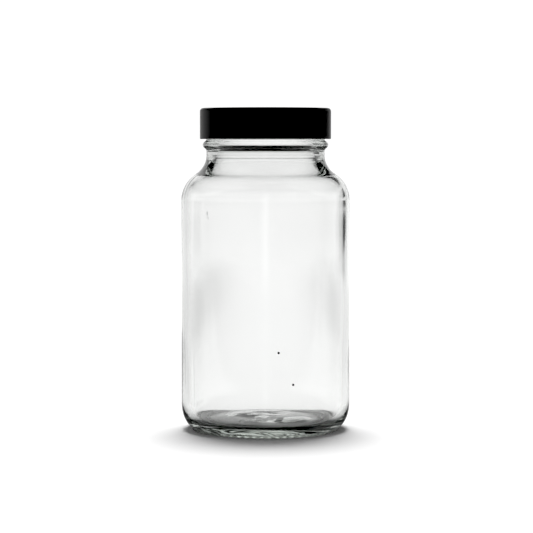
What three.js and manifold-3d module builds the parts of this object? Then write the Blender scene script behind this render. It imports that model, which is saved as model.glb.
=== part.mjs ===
// A wide-mouth specimen jar: a clear pressed-and-blown glass jar, a black moulded screw cap,
// and the two-ply liner that seals it. Millimetres, +Z up. The origin is on the jar's axis,
// on the plane that the jar stands on.

import * as THREE from "three";
import { mergeVertices } from "three/addons/utils/BufferGeometryUtils.js";
import Module from "manifold-3d";

const wasm = await Module();
wasm.setup();

// ---- Driving dimensions -------------------------------------------------------------------

const BODY_RADIUS = 30.7;
const RIM_HEIGHT = 114.7;
const WALL = 2.4;

// Base: the jar stands on a flat ring round a shallow push-up, with a tall rounded heel.
const PUSH_UP_HEIGHT = 1.8;
const PUSH_UP_EDGE_HEIGHT = 1;
const PUSH_UP_RADIUS = 21.2;
const STANDING_RING_INNER = 22.3;
const HEEL_WIDTH = 6.5;
const HEEL_HEIGHT = 10;
const FLOOR_EDGE_HEIGHT = 3.7;
const FLOOR_CENTRE_HEIGHT = 4.7;
const FLOOR_CORNER_WIDTH = 4.1;
const FLOOR_CORNER_HEIGHT = 6.8;
const BASE_BORE_RADIUS = 27.9; // the wall thickens just above the floor
const BASE_BORE_TOP = 34;

// Shoulder and neck.
const SHOULDER_RADIUS = 11.5;
const SHOULDER_START = 83.6;
const NECK_RADIUS = 21.5;
const NECK_FILLET = 8;
const INNER_SHOULDER_RADIUS = 8.8;
const INNER_SHOULDER_START = 84.1;
const THROAT_FILLET = 10.5;
const BEAD_RADIUS = 1.4;
const BEAD_CENTRE_RADIUS = 21.46;
const BEAD_CENTRE_HEIGHT = 103.75;
const BEAD_LOWER_FILLET = 1.6;
const COLLAR_RADIUS = 21.6;
const COLLAR_TOP = 106;

// Finish: a 45 mm continuous-thread finish, six threads to the inch.
const LEAD = 25.4 / 6;
const FINISH_RADIUS = 20.9;
const FINISH_START = 106.7;
const BORE_RADIUS = 17.9;
const RIM_OUTER_ROUND = 0.8;
const RIM_INNER_ROUND = 0.5;
const JAR_THREAD = {
  crestRadius: 22,
  buriedRadius: FINISH_RADIUS - 0.6,
  rootRadius: FINISH_RADIUS,
  rootWidth: 2.4,
  crestWidth: 0.9,
  centreAtTurnZero: 107.7,
  firstTurn: 0,
  lastTurn: 1.1,
};

// Cap.
const CAP_RADIUS = 23.8;
const CAP_BOTTOM = 105.9;
const CAP_TOP = 117.1;
const CAP_CEILING = 115.8;
const CAP_EDGE_ROUND = 1.2;
const CAP_BORE_RADIUS = 22.5;
const CAP_LIP_CHAMFER = 0.25;
const RETAINING_BEAD_RADIUS = 21.75;
const RETAINING_BEAD_HEIGHT = 114.2;
const RETAINING_BEAD_HALF_WIDTH = 0.38;
const THREAD_OFFSET = 1.6; // the cap's thread runs this far below the jar's, just under its flank
const CAP_THREAD = {
  crestRadius: 21.25,
  buriedRadius: CAP_BORE_RADIUS + 0.6,
  rootRadius: CAP_BORE_RADIUS,
  rootWidth: 2.2,
  crestWidth: 0.8,
  centreAtTurnZero: JAR_THREAD.centreAtTurnZero - THREAD_OFFSET,
  firstTurn: 0.4,
  lastTurn: 1.5,
};

// Liner: a board with a thin facing bonded under it, loose inside the cap.
const LINER_RADIUS = 22.1;
const LINER_GAP = 0.05;
const LINER_TOP = CAP_CEILING - LINER_GAP;
const FACING_BOTTOM = RIM_HEIGHT + LINER_GAP;
const FACING_THICKNESS = 0.2;
const FACING_TOP = FACING_BOTTOM + FACING_THICKNESS;

// Facets.
const ROUND_STEPS = 64;
const THREAD_STEPS_PER_TURN = 48;
const THREAD_FADE_TURNS = 0.08;

// ---- Geometry helpers ---------------------------------------------------------------------

const point = (radius, height) => new THREE.Vector2(radius, height);

// Points along an elliptical arc in the radius-height plane; angles in degrees from +radius.
function arc(centreRadius, centreHeight, width, height, fromDegrees, toDegrees, steps) {
  const points = [];
  for (let i = 0; i <= steps; i++) {
    const angle = THREE.MathUtils.degToRad(fromDegrees + ((toDegrees - fromDegrees) * i) / steps);
    points.push(
      point(centreRadius + width * Math.cos(angle), centreHeight + height * Math.sin(angle)),
    );
  }
  return points;
}

// A fillet between a circle and a vertical wall: the radius of its centre, how far above or below
// the circle's centre that lies, and the angle in degrees at which the two meet.
function filletBeside(circleCentre, circleRadius, wallRadius, fillet) {
  const across = wallRadius + fillet - circleCentre;
  const apart = Math.sqrt((circleRadius + fillet) ** 2 - across ** 2);
  return {
    centreRadius: wallRadius + fillet,
    apart,
    meets: THREE.MathUtils.radToDeg(Math.atan2(apart, across)),
  };
}

// A solid of revolution about +Z.
function turned(profile) {
  return new THREE.LatheGeometry(profile, ROUND_STEPS).rotateX(Math.PI / 2);
}

// A right-handed helical ridge whose section fades into the wall at both ends.
function threadRidge(thread) {
  const turns = thread.lastTurn - thread.firstTurn;
  const steps = Math.round(turns * THREAD_STEPS_PER_TURN);
  const slope =
    (thread.rootWidth - thread.crestWidth) / (thread.rootRadius - thread.crestRadius);
  const buriedWidth =
    thread.rootWidth + slope * (thread.buriedRadius - thread.rootRadius);
  const positions = [];
  for (let i = 0; i <= steps; i++) {
    const turn = thread.firstTurn + (turns * i) / steps;
    const fromEnd = (turns * Math.min(i, steps - i)) / steps;
    const full = Math.min(1, fromEnd / THREAD_FADE_TURNS);
    const midway = (thread.buriedRadius + thread.rootRadius) / 2;
    const crest = THREE.MathUtils.lerp(midway, thread.crestRadius, full);
    const angle = turn * 2 * Math.PI;
    const centre = thread.centreAtTurnZero + LEAD * turn;
    for (const [radius, offset] of [
      [thread.buriedRadius, -buriedWidth / 2],
      [crest, -thread.crestWidth / 2],
      [crest, thread.crestWidth / 2],
      [thread.buriedRadius, buriedWidth / 2],
    ])
      positions.push(radius * Math.cos(angle), radius * Math.sin(angle), centre + offset);
  }
  const index = [];
  const inward = thread.crestRadius < thread.buriedRadius;
  const face = (a, b, c) => (inward ? index.push(a, c, b) : index.push(a, b, c));
  for (let i = 0; i < steps; i++)
    for (let k = 0; k < 4; k++) {
      const here = 4 * i + k;
      const next = 4 * i + ((k + 1) % 4);
      face(here, here + 4, next);
      face(next, here + 4, next + 4);
    }
  const end = 4 * steps;
  face(0, 1, 2);
  face(0, 2, 3);
  face(end, end + 2, end + 1);
  face(end, end + 3, end + 2);
  const ridge = new THREE.BufferGeometry();
  ridge.setAttribute("position", new THREE.Float32BufferAttribute(positions, 3));
  return ridge.setIndex(index);
}

function toSolid(geometry) {
  const bare = geometry.clone();
  bare.deleteAttribute("normal");
  bare.deleteAttribute("uv");
  const merged = mergeVertices(bare, 1e-4);
  return new wasm.Manifold(
    new wasm.Mesh({
      numProp: 3,
      vertProperties: new Float32Array(merged.attributes.position.array),
      triVerts: new Uint32Array(merged.index.array),
    }),
  );
}

function toGeometry(solid) {
  const mesh = solid.getMesh();
  const geometry = new THREE.BufferGeometry();
  geometry.setAttribute("position", new THREE.BufferAttribute(mesh.vertProperties, 3));
  geometry.setIndex(new THREE.BufferAttribute(mesh.triVerts, 1));
  geometry.computeVertexNormals();
  return geometry;
}

// ---- Glass jar ----------------------------------------------------------------------------

const SHOULDER_CENTRE = BODY_RADIUS - SHOULDER_RADIUS;
const INNER_RADIUS = BODY_RADIUS - WALL;

function jarOutside() {
  const heelStart = BODY_RADIUS - HEEL_WIDTH;
  const neck = filletBeside(SHOULDER_CENTRE, SHOULDER_RADIUS, NECK_RADIUS, NECK_FILLET);
  const under = filletBeside(BEAD_CENTRE_RADIUS, BEAD_RADIUS, NECK_RADIUS, BEAD_LOWER_FILLET);
  const beadTop = THREE.MathUtils.radToDeg(
    Math.acos((COLLAR_RADIUS - BEAD_CENTRE_RADIUS) / BEAD_RADIUS),
  );
  const pushUp = [0, 0.6, 1].map((share) =>
    point(
      share * PUSH_UP_RADIUS,
      THREE.MathUtils.lerp(PUSH_UP_HEIGHT, PUSH_UP_EDGE_HEIGHT, share ** 2),
    ),
  );
  return [
    ...pushUp,
    point(STANDING_RING_INNER, 0),
    ...arc(heelStart, HEEL_HEIGHT, HEEL_WIDTH, HEEL_HEIGHT, -90, 0, 8),
    ...arc(SHOULDER_CENTRE, SHOULDER_START, SHOULDER_RADIUS, SHOULDER_RADIUS, 0, neck.meets, 6),
    ...arc(
      neck.centreRadius,
      SHOULDER_START + neck.apart,
      NECK_FILLET,
      NECK_FILLET,
      180 + neck.meets,
      180,
      4,
    ).slice(1),
    ...arc(
      under.centreRadius,
      BEAD_CENTRE_HEIGHT - under.apart,
      BEAD_LOWER_FILLET,
      BEAD_LOWER_FILLET,
      180,
      180 - under.meets,
      2,
    ),
    ...arc(
      BEAD_CENTRE_RADIUS,
      BEAD_CENTRE_HEIGHT,
      BEAD_RADIUS,
      BEAD_RADIUS,
      -under.meets,
      beadTop,
      5,
    ).slice(1),
    point(COLLAR_RADIUS, COLLAR_TOP),
    point(FINISH_RADIUS, FINISH_START),
    ...arc(
      FINISH_RADIUS - RIM_OUTER_ROUND,
      RIM_HEIGHT - RIM_OUTER_ROUND,
      RIM_OUTER_ROUND,
      RIM_OUTER_ROUND,
      0,
      90,
      2,
    ),
  ];
}

function jarInside() {
  const circle = INNER_SHOULDER_RADIUS;
  const circleCentre = INNER_RADIUS - circle;
  const throat = filletBeside(circleCentre, circle, BORE_RADIUS, THROAT_FILLET);
  return [
    ...arc(
      BORE_RADIUS + RIM_INNER_ROUND,
      RIM_HEIGHT - RIM_INNER_ROUND,
      RIM_INNER_ROUND,
      RIM_INNER_ROUND,
      90,
      180,
      2,
    ),
    ...arc(
      throat.centreRadius,
      INNER_SHOULDER_START + throat.apart,
      THROAT_FILLET,
      THROAT_FILLET,
      180,
      180 + throat.meets,
      4,
    ),
    ...arc(circleCentre, INNER_SHOULDER_START, circle, circle, throat.meets, 0, 5).slice(1),
    point(INNER_RADIUS, BASE_BORE_TOP),
    ...arc(
      BASE_BORE_RADIUS - FLOOR_CORNER_WIDTH,
      FLOOR_EDGE_HEIGHT + FLOOR_CORNER_HEIGHT,
      FLOOR_CORNER_WIDTH,
      FLOOR_CORNER_HEIGHT,
      0,
      -90,
      5,
    ),
    point(0, FLOOR_CENTRE_HEIGHT),
  ];
}

function glassJar() {
  const blown = toSolid(turned([...jarOutside(), ...jarInside()]));
  return toGeometry(blown.add(toSolid(threadRidge(JAR_THREAD))));
}

// ---- Screw cap ----------------------------------------------------------------------------

function capProfile() {
  const beadLow = RETAINING_BEAD_HEIGHT - RETAINING_BEAD_HALF_WIDTH;
  const beadHigh = RETAINING_BEAD_HEIGHT + RETAINING_BEAD_HALF_WIDTH;
  return [
    point(0, CAP_CEILING),
    point(CAP_BORE_RADIUS, CAP_CEILING),
    point(CAP_BORE_RADIUS, beadHigh),
    point(RETAINING_BEAD_RADIUS, RETAINING_BEAD_HEIGHT),
    point(CAP_BORE_RADIUS, beadLow),
    point(CAP_BORE_RADIUS, CAP_BOTTOM + CAP_LIP_CHAMFER),
    point(CAP_BORE_RADIUS + CAP_LIP_CHAMFER, CAP_BOTTOM),
    point(CAP_RADIUS - CAP_LIP_CHAMFER, CAP_BOTTOM),
    point(CAP_RADIUS, CAP_BOTTOM + CAP_LIP_CHAMFER),
    ...arc(
      CAP_RADIUS - CAP_EDGE_ROUND,
      CAP_TOP - CAP_EDGE_ROUND,
      CAP_EDGE_ROUND,
      CAP_EDGE_ROUND,
      0,
      90,
      4,
    ),
    point(0, CAP_TOP),
  ];
}

function screwCap() {
  return toGeometry(toSolid(turned(capProfile())).add(toSolid(threadRidge(CAP_THREAD))));
}

// ---- Liner --------------------------------------------------------------------------------

function disc(bottom, top) {
  return turned([
    point(0, bottom),
    point(LINER_RADIUS, bottom),
    point(LINER_RADIUS, top),
    point(0, top),
  ]);
}

// ---- Assembly -----------------------------------------------------------------------------

const materials = {
  glass: new THREE.MeshStandardMaterial({
    color: 0xe4ebe8,
    roughness: 0.04,
    metalness: 0,
    transparent: true,
    opacity: 0.35,
  }),
  cap: new THREE.MeshStandardMaterial({ color: 0x08080a, roughness: 0.42, metalness: 0 }),
  board: new THREE.MeshStandardMaterial({ color: 0xc9bfa8, roughness: 0.9, metalness: 0 }),
  facing: new THREE.MeshStandardMaterial({ color: 0x1c1c1e, roughness: 0.4, metalness: 0 }),
};

function named(name, geometry, material) {
  const mesh = new THREE.Mesh(geometry, material);
  mesh.name = name;
  return mesh;
}

const jar = new THREE.Group();
jar.add(
  named("glass_jar", glassJar(), materials.glass),
  named("screw_cap", screwCap(), materials.cap),
  named("liner_board", disc(FACING_TOP, LINER_TOP), materials.board),
  named("liner_facing", disc(FACING_BOTTOM, FACING_TOP), materials.facing),
);

export default jar;
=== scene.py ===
"""Looks of the specimen jar: moulded clear glass, a black plastic screw cap and its two-ply liner.

The jar, the cap and the liner's two plies are turned profiles in millimetres, each with its relief
(threads, knurls, mould marks, the waves of blown glass) carried in the mesh, and each stands exactly
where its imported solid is. A few specks of dirt cling to the jar's inner wall.
"""

import math

import bmesh
import bpy
import numpy as np
from mathutils import Matrix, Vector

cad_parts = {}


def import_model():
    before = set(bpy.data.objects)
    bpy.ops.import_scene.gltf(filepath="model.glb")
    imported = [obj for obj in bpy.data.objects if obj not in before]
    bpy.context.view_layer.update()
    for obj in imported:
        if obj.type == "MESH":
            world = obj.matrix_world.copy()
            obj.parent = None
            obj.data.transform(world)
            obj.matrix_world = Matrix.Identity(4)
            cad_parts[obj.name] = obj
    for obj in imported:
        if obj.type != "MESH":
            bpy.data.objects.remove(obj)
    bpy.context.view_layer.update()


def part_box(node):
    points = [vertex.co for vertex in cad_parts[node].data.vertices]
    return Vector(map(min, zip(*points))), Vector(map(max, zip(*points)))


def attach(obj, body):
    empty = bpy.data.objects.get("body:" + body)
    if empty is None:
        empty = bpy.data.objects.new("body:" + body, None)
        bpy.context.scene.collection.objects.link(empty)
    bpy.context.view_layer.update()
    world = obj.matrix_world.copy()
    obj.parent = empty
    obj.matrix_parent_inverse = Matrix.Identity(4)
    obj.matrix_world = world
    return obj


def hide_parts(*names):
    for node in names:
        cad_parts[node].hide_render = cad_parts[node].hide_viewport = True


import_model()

MM = 0.001
TAU = 2 * math.pi


def box_mm(node):
    """Radius, bottom and top of a CAD node, in millimetres."""
    low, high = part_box(node)
    return (high.x - low.x) / 2 / MM, low.z / MM, high.z / MM


# ---- Sizes, in millimetres, and angles, in radians unless a comment says degrees ----------

BODY_RADIUS, _, RIM_HEIGHT = box_mm("glass_jar")
CAP_RADIUS, CAP_BOTTOM, CAP_TOP = box_mm("screw_cap")
LINER_RADIUS, FACING_TOP, LINER_TOP = box_mm("liner_board")
_, FACING_BOTTOM, _ = box_mm("liner_facing")

WALL = 2.4

# Base
PUSH_UP_HEIGHT = 1.8
PUSH_UP_EDGE_HEIGHT = 1.0
PUSH_UP_RADIUS = 21.2
STANDING_RING_INNER = 22.3
HEEL_WIDTH = 6.5
HEEL_HEIGHT = 10.0
FLOOR_EDGE_HEIGHT = 3.7
FLOOR_CENTRE_HEIGHT = 4.7
FLOOR_CORNER_WIDTH = 4.1
FLOOR_CORNER_HEIGHT = 6.8
BASE_BORE_RADIUS = 27.9
BASE_BORE_TOP = 34.0

# Shoulder, neck and finish
SHOULDER_RADIUS = 11.5
SHOULDER_START = 83.6
NECK_RADIUS = 21.5
NECK_FILLET = 8.0
BEAD_RADIUS = 1.4
BEAD_CENTRE_RADIUS = 21.46
BEAD_CENTRE_HEIGHT = 103.75
BEAD_LOWER_FILLET = 1.6
BEAD_UPPER_FILLET = 0.7
COLLAR_RADIUS = 21.6
COLLAR_TOP = 106.0
FINISH_RADIUS = 20.9
FINISH_START = 106.7
BORE_RADIUS = 17.9
THROAT_FILLET = 10.5
INNER_SHOULDER = 8.8
INNER_SHOULDER_START = 84.1
RIM_OUTER_ROUND = 0.8
RIM_INNER_ROUND = 0.5
RIM_INNER_DROP = 1
# Where the jar's reliefs begin and end along its arcs, in degrees.
KNURLS_END = -50
NECK_RELIEF_START = 190

# Threads: six to the inch, right-handed
LEAD = 25.4 / 6
JAR_THREAD = dict(height=1.1, root_width=2.4, crest_width=0.9, start=107.7, turns=(0.0, 1.1))
CAP_THREAD = dict(height=1.25, root_width=2.2, crest_width=0.8, start=106.1, turns=(0.4, 1.5))
THREAD_FADE_TURNS = 0.08

# Cap
CAP_CEILING = 115.8
CAP_EDGE_ROUND = 1.2
CAP_BORE_RADIUS = 22.5
CAP_LIP_ROUND = 0.25
RETAINING_BEAD_HEIGHT = 114.2
RETAINING_BEAD_HALF_WIDTH = 0.38
RETAINING_BEAD_DEPTH = 0.75
CAP_CEILING_BEVEL = 0.15

# Liner
FACING_EDGE_ROUND = 0.05
BOARD_EDGE_ROUND = 0.12
RIM_PRINT = dict(inner=18.2, outer=21.0, edge=0.5, depth=0.05)

# Relief
KNURLS = 60
KNURL_HEIGHT = 0.5
KNURL_RADIUS = 26.4
KNURL_REACH = 1.5
KNURL_BOW = 0.55
KNURL_FLANK = 1.6
KNURL_END = 3.2
MARK_HEIGHT = 0.9
MARK_EDGE = 17
MARK_WIDTH = 0.45
MARK_FLANK = 0.35
MARK_SLANT = (0.3, 1)
# Rows of mould marks: the middle of the row, how many strokes, their pitch and their length.
MARK_ROWS = ((-1.5, -10.5, 7, 2.1, 6), (0.5, 11, 5, 1.8, 4))
SEAM_HEIGHT = 0.05
SEAM_WIDTH = 0.35
SEAM_ANGLES = (0.16, 0.16 + math.pi)
PARTING_HEIGHT = 99.3
PARTING_SIZE = 0.1
PARTING_WIDTH = 0.22
SWIRL_SIZE = 0.25
SWIRL_START = 6
SWIRL_END = 26
SWIRL_FADE = 3
WAVE_SIZE = 0.3
WAVE_LOWEST = 14
WAVE_HIGHEST = 96
WAVE_FADES = (14, 12)
# Waves of the blown wall: their share of WAVE_SIZE, how many go round the jar, how far they twist in
# each 100 mm of height, and their phase.
BLOWN_WAVES = (
    (0.075, 3, 4.1, 0.6),
    (0.05, 5, -9.3, 2.0),
    (0.035, 8, 17.0, 4.2),
    (0.022, 13, -26.0, 1.1),
    (0.03, 2, 34.0, 0.0),
)
# The upright line low on the left of the front, where the glass flowed unevenly.
FLOW_LINE_ANGLE = math.radians(-151)
FLOW_LINE_TOP = 30
FLOW_LINE_SIZE = 0.06
FLOW_LINE_WIDTH = 0.5
FLOW_LINE_FADE = 8
# Specks on the inner wall at the front: x, height, half width and half height.
SPECKS = (
    (4.5, 30.8, 0.42, 0.42),
    (9.5, 19.4, 0.42, 0.42),
    (-19.9, 79.6, 0.09, 0.8),
    (-19.6, 77.9, 0.08, 0.5),
)

# Grid of the turned meshes
CORNER_TURN = math.radians(25)
CORNER_HOLD = 0.06
JAR_SEGMENTS = 5 * KNURLS
CAP_SEGMENTS = 288
LINER_SEGMENTS = 224


# ---- Turned meshes ------------------------------------------------------------------------


def add(name, data):
    """Puts a mesh, a lamp or a camera into the scene as an object."""
    made = bpy.data.objects.new(name, data)
    bpy.context.scene.collection.objects.link(made)
    return made


def arc(centre_radius, centre_height, width, height, start, end, steps):
    """Points along an elliptical arc in the radius-height plane; angles in degrees."""
    angle = np.radians(np.linspace(start, end, steps + 1))
    return np.column_stack(
        (centre_radius + width * np.cos(angle), centre_height + height * np.sin(angle))
    )


def line(start, end, steps):
    """Points along a straight line, both ends included."""
    return np.linspace(start, end, steps + 1)


def smooth(x):
    """0 to 1 with flat ends, as x goes from 0 to 1."""
    x = np.clip(x, 0, 1)
    return x * x * (3 - 2 * x)


def with_corners_held(zones, points):
    """Adds a point close to each side of every sharp corner, so that shading stays crisp there."""
    held_zones, held_points = [zones[0]], [points[0]]
    for i in range(1, len(points) - 1):
        before, after = points[i] - points[i - 1], points[i + 1] - points[i]
        lengths = np.hypot(*before), np.hypot(*after)
        turn = abs(math.atan2(before[0] * after[1] - before[1] * after[0], before @ after))
        reach = [min(CORNER_HOLD, 0.3 * length) for length in lengths]
        sharp = turn > CORNER_TURN
        if sharp:
            held_zones.append(zones[i])
            held_points.append(points[i] - before * reach[0] / lengths[0])
        held_zones.append(zones[i])
        held_points.append(points[i])
        if sharp:
            held_zones.append(zones[i])
            held_points.append(points[i] + after * reach[1] / lengths[1])
    return held_zones + [zones[-1]], held_points + [points[-1]]


def turned(name, stretches, segments, reliefs=None):
    """A solid of revolution whose profile starts and ends on the axis.

    stretches is a list of (zone, points). reliefs maps a zone to a function of angle, radius and
    height that says how far the surface stands out there, along its normal.
    """
    zones, points = [], []
    for zone, stretch in stretches:
        for p in stretch:
            if points and np.hypot(*(points[-1] - p)) < 1e-6:
                continue
            zones.append(zone)
            points.append(np.array(p, float))
    zones, points = with_corners_held(zones, points)
    profile = np.array(points)
    along = np.gradient(profile, axis=0)
    along /= np.linalg.norm(along, axis=1)[:, None]
    normal = np.column_stack((along[:, 1], -along[:, 0]))
    inner = slice(1, len(profile) - 1)
    angle = np.linspace(0, TAU, segments, endpoint=False)
    rings = len(profile) - 2
    radius = np.repeat(profile[inner, 0][:, None], segments, 1)
    height = np.repeat(profile[inner, 1][:, None], segments, 1)
    angles = np.repeat(angle[None, :], rings, 0)
    out = np.zeros_like(radius)
    for zone, relief in (reliefs or {}).items():
        rows = np.array([z == zone for z in zones[inner]])
        out[rows] = relief(angles[rows], radius[rows], height[rows])
    radius = radius + out * normal[inner, 0][:, None]
    height = height + out * normal[inner, 1][:, None]
    ring_points = np.stack((radius * np.cos(angles), radius * np.sin(angles), height), -1)
    vertices = np.concatenate(
        (ring_points.reshape(-1, 3), [[0, 0, profile[0, 1]], [0, 0, profile[-1, 1]]])
    )
    grid = np.arange(rings * segments).reshape(rings, segments)
    beside = np.roll(grid, -1, 1)
    quads = np.stack((grid[:-1], beside[:-1], beside[1:], grid[1:]), -1).reshape(-1, 4)
    first, last = rings * segments, rings * segments + 1
    faces = quads.tolist()
    faces += [(first, int(b), int(a)) for a, b in zip(grid[0], beside[0])]
    faces += [(last, int(a), int(b)) for a, b in zip(grid[-1], beside[-1])]
    mesh = bpy.data.meshes.new(name)
    mesh.from_pydata((vertices * MM).tolist(), [], faces)
    mesh.validate()
    mesh.shade_smooth()
    return add(name, mesh)


def thread_relief(thread):
    """A helical ridge with rounded flanks that fades out at both ends."""
    first, last = thread["turns"]
    flank = (thread["root_width"] - thread["crest_width"]) / 2

    def relief(angle, radius, height):
        out = np.zeros_like(angle)
        for lap in range(int(first), int(math.ceil(last)) + 1):
            turn = angle / TAU + lap
            centre = thread["start"] + LEAD * turn
            inside = np.minimum(turn - first, last - turn) / THREAD_FADE_TURNS
            away = np.abs(height - centre) - thread["crest_width"] / 2
            ridge = smooth(1 - away / flank) * smooth(inside)
            out = np.maximum(out, thread["height"] * ridge)
        return out

    return relief


# ---- Glass jar ----------------------------------------------------------------------------

SHOULDER_CENTRE = BODY_RADIUS - SHOULDER_RADIUS


def fillet_beside(circle_centre, circle_radius, wall_radius, fillet):
    """A fillet between a circle and a vertical wall.

    Gives the radius of its centre, how far above or below the circle's centre that lies, and the
    angle at which the two meet, in degrees.
    """
    across = wall_radius + fillet - circle_centre
    up = math.sqrt((circle_radius + fillet) ** 2 - across**2)
    return wall_radius + fillet, up, math.degrees(math.atan2(up, across))


def push_up_height(radius):
    """Height of the jar's underside above the plane it stands on, inside the push-up."""
    share = (radius / PUSH_UP_RADIUS) ** 2
    return PUSH_UP_HEIGHT + (PUSH_UP_EDGE_HEIGHT - PUSH_UP_HEIGHT) * share


def knurl_relief(angle, radius, height):
    """Short crescents round the heel, each hollow side towards the axis."""
    across = ((angle * KNURLS / TAU) % 1 - 0.5) * 2
    bowed = radius - KNURL_RADIUS + KNURL_BOW * across**2
    ridge = smooth(1 - np.abs(bowed) / KNURL_REACH * KNURL_FLANK)
    return KNURL_HEIGHT * ridge * smooth((1 - np.abs(across)) * KNURL_END)


def bar(x, y, centre, length):
    """1 inside a short round-ended bar on the base, falling to 0 round its edge."""
    dx, dy = x - centre[0], y - centre[1]
    size = math.hypot(*MARK_SLANT)
    u = (dx * MARK_SLANT[0] + dy * MARK_SLANT[1]) / size
    v = (dy * MARK_SLANT[0] - dx * MARK_SLANT[1]) / size
    away = np.hypot(np.maximum(np.abs(u) - length / 2, 0), v)
    return smooth((MARK_WIDTH - away) / MARK_FLANK + 0.5)


def mark_relief(angle, radius, height):
    """Generic mould marks on the push-up: a row of strokes in front and a smaller one behind."""
    x, y = radius * np.cos(angle), radius * np.sin(angle)
    out = 0
    for row_x, row_y, count, pitch, length in MARK_ROWS:
        for i in range(count):
            centre = (row_x + (i - (count - 1) / 2) * pitch, row_y + (i % 3 - 1) * length / 5)
            shown = length * (1 - 0.4 * (i % 2))
            out = np.maximum(out, bar(x, y, centre, shown))
    return MARK_HEIGHT * out


def upright_line(angle, radius, place, width):
    """1 along an upright line at one angle, falling to 0 on both sides of it."""
    turn = (angle - place + math.pi) % TAU - math.pi
    return np.exp(-((turn * radius / width) ** 2))


def seam_relief(angle, radius, height):
    """The two faint upright lines where the halves of the mould met."""
    return SEAM_HEIGHT * sum(upright_line(angle, radius, at, SEAM_WIDTH) for at in SEAM_ANGLES)


def floor_swirl(angle, radius, height):
    """The uneven inner floor: the glass set in broad folds round the centre."""
    out = smooth(radius / SWIRL_START) * smooth((SWIRL_END - radius) / SWIRL_FADE)
    folds = np.sin(2 * angle + 0.22 * radius + 0.7) + 0.7 * np.sin(3 * angle - 0.35 * radius + 2.4)
    rings = 0.6 * np.sin(0.62 * radius + 1.5 * np.sin(angle + 0.4))
    return SWIRL_SIZE * out * (folds + rings)


def parting_relief(angle, radius, height):
    """The line where the neck ring of the mould met its halves."""
    return PARTING_SIZE * np.exp(-(((height - PARTING_HEIGHT) / PARTING_WIDTH) ** 2))


def blown_waves(angle, radius, height):
    """The uneven inner wall of blown glass: long shallow waves that die out towards both ends."""
    low_fade, high_fade = WAVE_FADES
    fade = smooth((height - WAVE_LOWEST) / low_fade) * smooth((WAVE_HIGHEST - height) / high_fade)
    waves = 0
    for size, round_jar, twist, phase in BLOWN_WAVES:
        waves = waves + size * np.sin(round_jar * angle + twist * height / 100 + phase)
    flow = upright_line(angle, radius, FLOW_LINE_ANGLE, FLOW_LINE_WIDTH)
    flow = flow * smooth((FLOW_LINE_TOP - height) / FLOW_LINE_FADE)
    return WAVE_SIZE * fade * waves + FLOW_LINE_SIZE * flow


def round_arc(centre_radius, centre_height, radius, start, end, steps):
    """Points along a circular arc in the radius-height plane; angles in degrees."""
    return arc(centre_radius, centre_height, radius, radius, start, end, steps)


def jar_outside():
    """The outer profile, from the middle of the push-up to the top of the rim."""
    heel_start = BODY_RADIUS - HEEL_WIDTH
    neck, neck_up, meets = fillet_beside(
        SHOULDER_CENTRE, SHOULDER_RADIUS, NECK_RADIUS, NECK_FILLET
    )
    under, under_down, bead_low = fillet_beside(
        BEAD_CENTRE_RADIUS, BEAD_RADIUS, NECK_RADIUS, BEAD_LOWER_FILLET
    )
    over, over_up, bead_high = fillet_beside(
        BEAD_CENTRE_RADIUS, BEAD_RADIUS, COLLAR_RADIUS, BEAD_UPPER_FILLET
    )
    neck_start, neck_end = SHOULDER_START + neck_up, BEAD_CENTRE_HEIGHT - under_down
    bead_centre = (BEAD_CENTRE_RADIUS, BEAD_CENTRE_HEIGHT)
    collar_start = BEAD_CENTRE_HEIGHT + over_up
    rim_start = RIM_HEIGHT - RIM_OUTER_ROUND
    marks = np.array([(r, push_up_height(r)) for r in np.linspace(0, MARK_EDGE, 56)])
    plain = np.array([(r, push_up_height(r)) for r in np.linspace(MARK_EDGE, PUSH_UP_RADIUS, 5)])
    share = np.linspace(0, 1, 8)[1:]
    step = np.column_stack(
        (
            PUSH_UP_RADIUS + (STANDING_RING_INNER - PUSH_UP_RADIUS) * share,
            PUSH_UP_EDGE_HEIGHT * (1 - smooth(share)),
        )
    )
    return [
        ("marks", marks),
        ("base", plain),
        ("base", step),
        ("base", line((STANDING_RING_INNER, 0), (heel_start, 0), 3)),
        ("knurls", arc(heel_start, HEEL_HEIGHT, HEEL_WIDTH, HEEL_HEIGHT, -90, KNURLS_END, 24)),
        ("heel", arc(heel_start, HEEL_HEIGHT, HEEL_WIDTH, HEEL_HEIGHT, KNURLS_END, 0, 12)),
        ("side", line((BODY_RADIUS, HEEL_HEIGHT), (BODY_RADIUS, SHOULDER_START), 8)),
        ("side", round_arc(SHOULDER_CENTRE, SHOULDER_START, SHOULDER_RADIUS, 0, meets, 16)),
        ("side", round_arc(neck, neck_start, NECK_FILLET, 180 + meets, NECK_RELIEF_START, 9)),
        ("neck", round_arc(neck, neck_start, NECK_FILLET, NECK_RELIEF_START, 180, 12)),
        ("neck", line((NECK_RADIUS, neck_start), (NECK_RADIUS, neck_end), 3)),
        ("neck", round_arc(under, neck_end, BEAD_LOWER_FILLET, 180, 180 - bead_low, 7)),
        ("neck", round_arc(*bead_centre, BEAD_RADIUS, -bead_low, bead_high, 16)),
        ("neck", round_arc(over, collar_start, BEAD_UPPER_FILLET, 180 + bead_high, 180, 4)),
        ("neck", line((COLLAR_RADIUS, COLLAR_TOP), (FINISH_RADIUS, FINISH_START), 3)),
        ("finish", line((FINISH_RADIUS, FINISH_START), (FINISH_RADIUS, rim_start), 30)),
        ("rim", round_arc(FINISH_RADIUS - RIM_OUTER_ROUND, rim_start, RIM_OUTER_ROUND, 0, 90, 6)),
    ]


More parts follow.
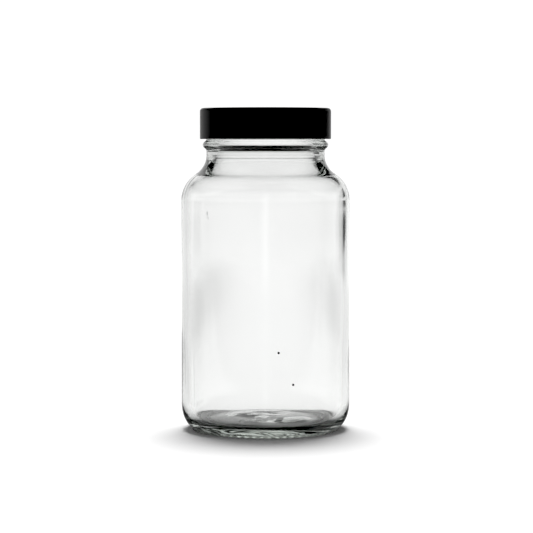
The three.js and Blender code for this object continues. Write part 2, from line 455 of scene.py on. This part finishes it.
def jar_inside():
    """The inner profile, from the top of the rim down to the middle of the floor."""
    inner_radius = BODY_RADIUS - WALL
    shoulder = inner_radius - INNER_SHOULDER
    throat, throat_up, meets = fillet_beside(shoulder, INNER_SHOULDER, BORE_RADIUS, THROAT_FILLET)
    throat_top = INNER_SHOULDER_START + throat_up
    rim_end = RIM_HEIGHT - RIM_INNER_ROUND
    floor_corner = FLOOR_EDGE_HEIGHT + FLOOR_CORNER_HEIGHT
    floor_edge = BASE_BORE_RADIUS - FLOOR_CORNER_WIDTH
    floor_radii = np.linspace(floor_edge, 0, 18)
    dome = FLOOR_CENTRE_HEIGHT - FLOOR_EDGE_HEIGHT
    floor_heights = FLOOR_EDGE_HEIGHT + dome * (1 - (floor_radii / floor_edge) ** 2)
    return [
        ("rim", round_arc(BORE_RADIUS + RIM_INNER_ROUND, rim_end, RIM_INNER_ROUND, 90, 180, 5)),
        ("bore", line((BORE_RADIUS, RIM_HEIGHT - RIM_INNER_DROP), (BORE_RADIUS, throat_top), 6)),
        ("bore", round_arc(throat, throat_top, THROAT_FILLET, 180, 180 + meets, 14)),
        ("bore", round_arc(shoulder, INNER_SHOULDER_START, INNER_SHOULDER, meets, 0, 14)),
        ("bore", line((inner_radius, INNER_SHOULDER_START), (inner_radius, BASE_BORE_TOP), 16)),
        ("bore", line((inner_radius, BASE_BORE_TOP), (BASE_BORE_RADIUS, floor_corner), 8)),
        (
            "floor",
            arc(floor_edge, floor_corner, FLOOR_CORNER_WIDTH, FLOOR_CORNER_HEIGHT, 0, -90, 16),
        ),
        ("floor", np.column_stack((floor_radii, floor_heights))),
    ]


def glass_jar():
    """The jar: one closed surface, outside and inside, with every relief that the glass carries."""
    return turned(
        "clear_glass_jar",
        jar_outside() + jar_inside(),
        JAR_SEGMENTS,
        {
            "marks": mark_relief,
            "knurls": knurl_relief,
            "side": seam_relief,
            "neck": parting_relief,
            "bore": blown_waves,
            "floor": floor_swirl,
            "finish": thread_relief(JAR_THREAD),
        },
    )


def wall_specks():
    """Dark specks of dirt that cling to the inner wall."""
    mesh = bpy.data.meshes.new("wall_specks")
    shape = bmesh.new()
    for x, height, half_width, half_height in SPECKS:
        y = -math.sqrt((BODY_RADIUS - WALL) ** 2 - x**2)
        size = Matrix.Diagonal((half_width, half_width / 2, half_height, 1))
        place = Matrix.Translation((x * MM, y * MM, height * MM)) @ size
        bmesh.ops.create_icosphere(shape, subdivisions=2, radius=MM, matrix=place)
    shape.to_mesh(mesh)
    shape.free()
    mesh.shade_smooth()
    return add("wall_specks", mesh)


# ---- Screw cap ----------------------------------------------------------------------------


def retaining_bead(angle, radius, height):
    """The low bead under the liner, which keeps it in the cap."""
    away = np.abs(height - RETAINING_BEAD_HEIGHT) / RETAINING_BEAD_HALF_WIDTH
    return RETAINING_BEAD_DEPTH * smooth(1 - away)


def cap_bore_relief(angle, radius, height):
    """The cap's thread and its retaining bead."""
    thread = thread_relief(CAP_THREAD)(angle, radius, height)
    return np.maximum(thread, retaining_bead(angle, radius, height))


def screw_cap():
    """The cap: its ceiling and threaded bore, its lip, and its smooth side and top."""
    bore_top = CAP_CEILING - CAP_CEILING_BEVEL
    lip_top = CAP_BOTTOM + CAP_LIP_ROUND
    ceiling_edge = CAP_BORE_RADIUS - CAP_CEILING_BEVEL
    top_edge = CAP_RADIUS - CAP_EDGE_ROUND
    side_top = CAP_TOP - CAP_EDGE_ROUND
    profile = [
        ("ceiling", line((0, CAP_CEILING), (ceiling_edge, CAP_CEILING), 12)),
        ("bore", line((CAP_BORE_RADIUS, bore_top), (CAP_BORE_RADIUS, lip_top), 56)),
        ("lip", round_arc(CAP_BORE_RADIUS + CAP_LIP_ROUND, lip_top, CAP_LIP_ROUND, 180, 270, 4)),
        ("lip", round_arc(CAP_RADIUS - CAP_LIP_ROUND, lip_top, CAP_LIP_ROUND, 270, 360, 4)),
        ("side", line((CAP_RADIUS, lip_top), (CAP_RADIUS, side_top), 10)),
        ("side", round_arc(top_edge, side_top, CAP_EDGE_ROUND, 0, 90, 12)),
        ("top", line((top_edge, CAP_TOP), (0, CAP_TOP), 24)),
    ]
    return turned("black_screw_cap", profile, CAP_SEGMENTS, {"bore": cap_bore_relief})


# ---- Liner --------------------------------------------------------------------------------


def disc(bottom, top, edge):
    """The profile of one ply of the liner, with its edge rounded over."""
    flat = LINER_RADIUS - edge
    return [
        ("under", line((0, bottom), (flat, bottom), 40)),
        ("edge", round_arc(flat, bottom + edge, edge, -90, 0, 3)),
        ("edge", round_arc(flat, top - edge, edge, 0, 90, 3)),
        ("over", line((flat, top), (0, top), 12)),
    ]


def rim_print(angle, radius, height):
    """The ring that the jar's rim has pressed into the facing."""
    inner = smooth((radius - RIM_PRINT["inner"]) / RIM_PRINT["edge"])
    outer = smooth((RIM_PRINT["outer"] - radius) / RIM_PRINT["edge"])
    return -RIM_PRINT["depth"] * inner * outer


def liner_facing():
    """The thin facing that touches the rim."""
    profile = disc(FACING_BOTTOM, FACING_TOP, FACING_EDGE_ROUND)
    return turned("black_liner_facing", profile, LINER_SEGMENTS, {"under": rim_print})


def liner_board():
    """The pulp board between the facing and the cap's ceiling."""
    profile = disc(FACING_TOP, LINER_TOP, BOARD_EDGE_ROUND)
    return turned("pulp_liner_board", profile, LINER_SEGMENTS)


# ---- Materials ----------------------------------------------------------------------------

GLASS_IOR = 1.52
# A metre of this glass absorbs light at (1 - tint) x density, so it is faintly green where it's thick.
GLASS_TINT = (0.40, 0.47, 0.40)
GLASS_DENSITY = 19
CAP_BLACK = (0.003, 0.003, 0.0033)
FACING_BLACK = (0.002, 0.002, 0.0022)
BOARD_COLOUR = (0.58, 0.5, 0.37)
BOARD_DARK = (0.47, 0.4, 0.29)
BOARD_PALE = (0.66, 0.58, 0.45)
DIRT_COLOUR = (0.02, 0.019, 0.017)


def material(name, colour, roughness, **sockets):
    """A Principled material; any other socket is given by its name, with _ for a space."""
    made = bpy.data.materials.new(name)
    made.use_nodes = True
    shader = made.node_tree.nodes["Principled BSDF"]
    shader.inputs["Base Color"].default_value = (*colour, 1)
    shader.inputs["Roughness"].default_value = roughness
    for socket, value in sockets.items():
        shader.inputs[socket.replace("_", " ")].default_value = value
    return made, made.node_tree, shader


def noise(tree, scale, detail=4.0, roughness=0.5, stretch=None):
    """A noise texture in object coordinates; scale is in waves per metre."""
    coordinates = tree.nodes.new("ShaderNodeTexCoord")
    texture = tree.nodes.new("ShaderNodeTexNoise")
    texture.inputs["Scale"].default_value = scale
    texture.inputs["Detail"].default_value = detail
    texture.inputs["Roughness"].default_value = roughness
    source = coordinates.outputs["Object"]
    if stretch:
        mapping = tree.nodes.new("ShaderNodeMapping")
        mapping.inputs["Scale"].default_value = stretch
        tree.links.new(source, mapping.inputs["Vector"])
        source = mapping.outputs["Vector"]
    tree.links.new(source, texture.inputs["Vector"])
    return texture.outputs["Fac"]


def bump(tree, shader, height, strength, distance):
    """Fine surface grain from a height; the distance is in metres."""
    node = tree.nodes.new("ShaderNodeBump")
    node.inputs["Strength"].default_value = strength
    node.inputs["Distance"].default_value = distance
    tree.links.new(height, node.inputs["Height"])
    tree.links.new(node.outputs["Normal"], shader.inputs["Normal"])


def ramp(tree, factor, stops):
    """A colour that runs through the stops, each a position and a colour."""
    node = tree.nodes.new("ShaderNodeValToRGB")
    elements = node.color_ramp.elements
    for element, (position, colour) in zip(elements, stops):
        element.position = position
        element.color = (*colour, 1)
    for position, colour in stops[2:]:
        elements.new(position).color = (*colour, 1)
    tree.links.new(factor, node.inputs["Fac"])
    return node.outputs["Color"]


def glass_material():
    """Clear glass that absorbs a little light all through."""
    made, tree, shader = material(
        "clear_glass", (1, 1, 1), 0.0, IOR=GLASS_IOR, Transmission_Weight=1
    )
    bump(tree, shader, noise(tree, 60, 1), 0.02, 0.001)
    volume = tree.nodes.new("ShaderNodeVolumeAbsorption")
    volume.inputs["Color"].default_value = (*GLASS_TINT, 1)
    volume.inputs["Density"].default_value = GLASS_DENSITY
    output = tree.nodes["Material Output"]
    tree.links.new(volume.outputs["Volume"], output.inputs["Volume"])
    return made


def cap_material():
    """Black moulded plastic with a fine grain."""
    made, tree, shader = material("black_plastic", CAP_BLACK, 0.36, Specular_IOR_Level=0.2)
    bump(tree, shader, noise(tree, 5200, 5), 0.12, 0.0001)
    return made


def board_material():
    """Pressed pulp: buff, fibrous and matte."""
    made, tree, shader = material("pulp_board", BOARD_COLOUR, 0.92)
    fibres = noise(tree, 2400, 8, 0.65, (1, 1, 3))
    stops = [(0.3, BOARD_DARK), (0.7, BOARD_PALE)]
    tree.links.new(ramp(tree, fibres, stops), shader.inputs["Base Color"])
    bump(tree, shader, fibres, 0.5, 0.0002)
    return made


def facing_material():
    """The facing's smooth black film."""
    made, tree, shader = material("black_facing", FACING_BLACK, 0.38, Specular_IOR_Level=0.25)
    bump(tree, shader, noise(tree, 900, 3), 0.15, 0.0001)
    return made


def speck_material():
    """Matte dark dirt."""
    made, tree, shader = material("dirt", DIRT_COLOUR, 0.9)
    bump(tree, shader, noise(tree, 9000, 4), 0.6, 0.0001)
    return made


# ---- Assembly -----------------------------------------------------------------------------


def place(piece, node, body, slot, finish):
    """Gives a piece its material and its body, and hides the CAD node that it stands for. The slot is
    not used.
    """
    piece.data.materials.append(finish)
    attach(piece, body)
    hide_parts(node)


place(glass_jar(), "glass_jar", "jar", "clear_glass", glass_material())
place(screw_cap(), "screw_cap", "cap", "black_plastic", cap_material())
place(liner_board(), "liner_board", "liner", "pulp_board", board_material())
place(liner_facing(), "liner_facing", "liner", "black_facing", facing_material())
specks = wall_specks()
specks.data.materials.append(speck_material())
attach(specks, "jar")


# ---- Studio -------------------------------------------------------------------------------

# Lengths here are in metres; the lens and the sensor are in millimetres.
CAMERA_DISTANCE = 0.75
CAMERA_HEIGHT = CAP_BOTTOM * MM
CAMERA_TILT = math.radians(3.54)
CAMERA_PAN = math.radians(0.028)
CAMERA_LENS = 139.2
CAMERA_SENSOR = 36
BLACK_LEVEL = 0.02
FLOOR_RADIUS = 1.3
# How far from the jar the floor is gone, and how far it is still whole.
FLOOR_FADE = (1.2, 0.5)
# How pale the floor is to the camera, and how pale to everything else.
FLOOR_TO_CAMERA = 0.95
FLOOR_TO_GLASS = 0.94
# Where the floor's painted shade for mirrored rays starts and ends, towards the front: its colour goes
# dark there to stand for the dark front of the set.
FLOOR_FRONT_PAINTED_SHADE = (0.0, -0.06)
# The painted shade on the floor's colour to the left and to the right: where it starts and ends, with
# how much of the colour it takes, for all but the camera's rays.
FLOOR_SIDES_PAINTED_SHADE = ((-0.01, -0.12, 0.3), (0.02, 0.14, 0.24))
OVERHEAD_ANGLE = math.radians(26)
OVERHEAD_TILT = math.radians(16)
OVERHEAD_STRENGTH = 3.1


def math_node(tree, operation, a, b=None):
    """The output of a maths node on numbers or on other nodes' outputs."""
    node = tree.nodes.new("ShaderNodeMath")
    node.operation = operation
    for socket, value in zip(node.inputs, (a, b)):
        if value is None:
            continue
        if isinstance(value, (int, float)):
            socket.default_value = value
        else:
            tree.links.new(value, socket)
    return node.outputs[0]


def mirrored_rays(tree, ray):
    """1 for rays that a surface has mirrored on their way, 0 for the others."""
    return math_node(tree, "GREATER_THAN", ray.outputs["Glossy Depth"], 0.5)


def step(tree, value, start, end):
    """0 at the start and 1 at the end, smoothly."""
    node = tree.nodes.new("ShaderNodeMapRange")
    node.interpolation_type = "SMOOTHSTEP"
    low, high = min(start, end), max(start, end)
    node.inputs["From Min"].default_value = low
    node.inputs["From Max"].default_value = high
    node.inputs["To Min"].default_value = 0 if start < end else 1
    node.inputs["To Max"].default_value = 1 if start < end else 0
    tree.links.new(value, node.inputs["Value"])
    return node.outputs["Result"]


def camera():
    """Level with the cap's lower edge and a little tilted down."""
    data = bpy.data.cameras.new("camera")
    data.sensor_width = CAMERA_SENSOR
    data.lens = CAMERA_LENS
    data.clip_start, data.clip_end = 0.05, 50
    made = add("camera", data)
    made.location = (0, -CAMERA_DISTANCE, CAMERA_HEIGHT)
    made.rotation_euler = (math.pi / 2 - CAMERA_TILT, 0, -CAMERA_PAN)
    bpy.context.scene.camera = made


def floor():
    """A wide pale disc that the jar stands on."""
    mesh = bpy.data.meshes.new("floor")
    angles = np.linspace(0, TAU, 128, endpoint=False)
    ring = [(FLOOR_RADIUS * math.cos(a), FLOOR_RADIUS * math.sin(a), 0) for a in angles]
    mesh.from_pydata(ring, [], [tuple(range(len(ring)))])
    made = add("floor", mesh)
    mesh.materials.append(floor_material())
    made.visible_glossy = False


def floor_material():
    """Pale all over, fading out far away, and nothing at all from below.

    To all but the camera its colour carries painted shade at the sides, and to mirrored rays painted
    shade in front.
    """
    made, tree, shader = material("pale_floor", (0.9, 0.9, 0.9), 0.8)
    shader.inputs["Specular IOR Level"].default_value = 0
    place_on_floor = tree.nodes.new("ShaderNodeTexCoord").outputs["Object"]
    length = tree.nodes.new("ShaderNodeVectorMath")
    length.operation = "LENGTH"
    tree.links.new(place_on_floor, length.inputs[0])
    grain = tree.nodes.new("ShaderNodeTexWhiteNoise")
    tree.links.new(place_on_floor, grain.inputs["Vector"])
    fade = step(tree, length.outputs["Value"], *FLOOR_FADE)
    there = math_node(tree, "GREATER_THAN", fade, grain.outputs["Value"])
    from_below = tree.nodes.new("ShaderNodeNewGeometry").outputs["Backfacing"]
    from_above = math_node(tree, "SUBTRACT", 1.0, from_below)
    tree.links.new(math_node(tree, "MULTIPLY", there, from_above), shader.inputs["Alpha"])
    split = tree.nodes.new("ShaderNodeSeparateXYZ")
    tree.links.new(place_on_floor, split.inputs[0])
    pale_with_painted_shade = FLOOR_TO_GLASS
    # Painted shade: the floor's pale colour is darkened towards the left and the right, for all but
    # the camera's rays.
    for start, end, depth in FLOOR_SIDES_PAINTED_SHADE:
        side = math_node(tree, "MULTIPLY", step(tree, split.outputs["X"], start, end), depth)
        pale_with_painted_shade = math_node(tree, "SUBTRACT", pale_with_painted_shade, side)
    ray = tree.nodes.new("ShaderNodeLightPath")
    # Painted shade: the floor's colour goes dark towards the front for mirrored rays.
    front = step(tree, split.outputs["Y"], *FLOOR_FRONT_PAINTED_SHADE)
    front = math_node(tree, "MULTIPLY", front, mirrored_rays(tree, ray))
    pale_with_painted_shade = math_node(tree, "MULTIPLY", pale_with_painted_shade, math_node(tree, "SUBTRACT", 1.0, front))
    to_camera = math_node(tree, "MULTIPLY", ray.outputs["Is Camera Ray"], FLOOR_TO_CAMERA)
    tree.links.new(math_node(tree, "MAXIMUM", to_camera, pale_with_painted_shade), shader.inputs["Base Color"])
    return made


def overhead_light():
    """A wide soft light from above, which gives the contact shadow and isn't seen in the glass."""
    data = bpy.data.lights.new("overhead", "SUN")
    data.angle = OVERHEAD_ANGLE
    data.energy = OVERHEAD_STRENGTH
    made = add("overhead", data)
    made.rotation_euler = (-OVERHEAD_TILT, 0, 0)
    made.visible_glossy = False
    made.visible_transmission = False


# Cards round the set, seen by the glass: azimuth from and to (0 is behind the jar, 90 its right),
# elevation from and to, how much each one darkens, and how soft its edge is, in degrees.
CARDS = (
    (32, 62, -3.5, 9, 0.97, 2),
    (-85, -20, -95, 95, 0.29, 24),
    (20, 85, -95, 95, 0.2, 24),
    (-181, 181, -2, 95, 0.12, 5),
    (-181, 181, 8, 95, 0.05, 12),
    (-99, -33, 14, 95, 0.97, 6),
    (17, 103, 15, 95, 0.97, 4),
    (-181, 181, 30, 95, 0.97, 8),
)
# Cards that only dim what the surfaces mirror, so that the front of the set stays dark in them.
MIRRORED_CARDS = (
    (70, 181, -95, 95, 0.97, 20),
    (-181, -70, -95, 95, 0.97, 20),
    (-181, 181, -95, -8, 0.9, 8),
)
# How bright the studio is to the glass and to the gloss, and how bright to matte surfaces.
STUDIO_LEVEL = 1.18
AMBIENT_LEVEL = 0.28


def carded(tree, light, cards, azimuth, elevation, share=None):
    """The light with each card's part taken from it; share says which rays see the cards."""
    for start, end, low, high, depth, soft in cards:
        edges = []
        for value, at in ((azimuth, start), (azimuth, end), (elevation, low), (elevation, high)):
            near, far = math.radians(at - soft / 2), math.radians(at + soft / 2)
            edges.append(step(tree, value, near, far))
        across = math_node(tree, "SUBTRACT", edges[0], edges[1])
        up = math_node(tree, "SUBTRACT", edges[2], edges[3])
        dark = math_node(tree, "MULTIPLY", math_node(tree, "MULTIPLY", across, up), depth)
        if share is not None:
            dark = math_node(tree, "MULTIPLY", dark, share)
        light = math_node(tree, "MULTIPLY", math_node(tree, "SUBTRACT", 1.0, dark), light)
    return light


def world():
    """The studio: white to the camera, dim to matte surfaces, and with its cards to the rest."""
    made = bpy.data.worlds.new("studio")
    bpy.context.scene.world = made
    made.use_nodes = True
    tree = made.node_tree
    split = tree.nodes.new("ShaderNodeSeparateXYZ")
    direction = tree.nodes.new("ShaderNodeTexCoord").outputs["Generated"]
    tree.links.new(direction, split.inputs[0])
    azimuth = math_node(tree, "ARCTAN2", split.outputs["X"], split.outputs["Y"])
    elevation = math_node(tree, "ARCSINE", split.outputs["Z"])
    ray = tree.nodes.new("ShaderNodeLightPath")
    light = carded(tree, STUDIO_LEVEL, CARDS, azimuth, elevation)
    light = carded(tree, light, MIRRORED_CARDS, azimuth, elevation, mirrored_rays(tree, ray))
    seen = math_node(tree, "MAXIMUM", ray.outputs["Is Camera Ray"], light)
    on_matte = math_node(tree, "MULTIPLY", ray.outputs["Is Diffuse Ray"], AMBIENT_LEVEL)
    on_glass = math_node(tree, "SUBTRACT", 1.0, ray.outputs["Is Diffuse Ray"])
    seen = math_node(tree, "ADD", on_matte, math_node(tree, "MULTIPLY", seen, on_glass))
    background = tree.nodes["Background"]
    background.inputs["Color"].default_value = (1, 1, 1, 1)
    tree.links.new(seen, background.inputs["Strength"])
    made.cycles.sampling_method = "NONE"


camera()
floor()
overhead_light()
world()
scene = bpy.context.scene
# The deepest blacks of the picture are crushed a little, as a product picture's are.
scene.view_settings.view_transform = "Standard"
scene.view_settings.use_curve_mapping = True
scene.view_settings.curve_mapping.black_level = (BLACK_LEVEL, BLACK_LEVEL, BLACK_LEVEL)
scene.cycles.max_bounces = 32
scene.cycles.transmission_bounces = 32
scene.cycles.glossy_bounces = 12
scene.cycles.caustics_refractive = True
scene.cycles.caustics_reflective = False
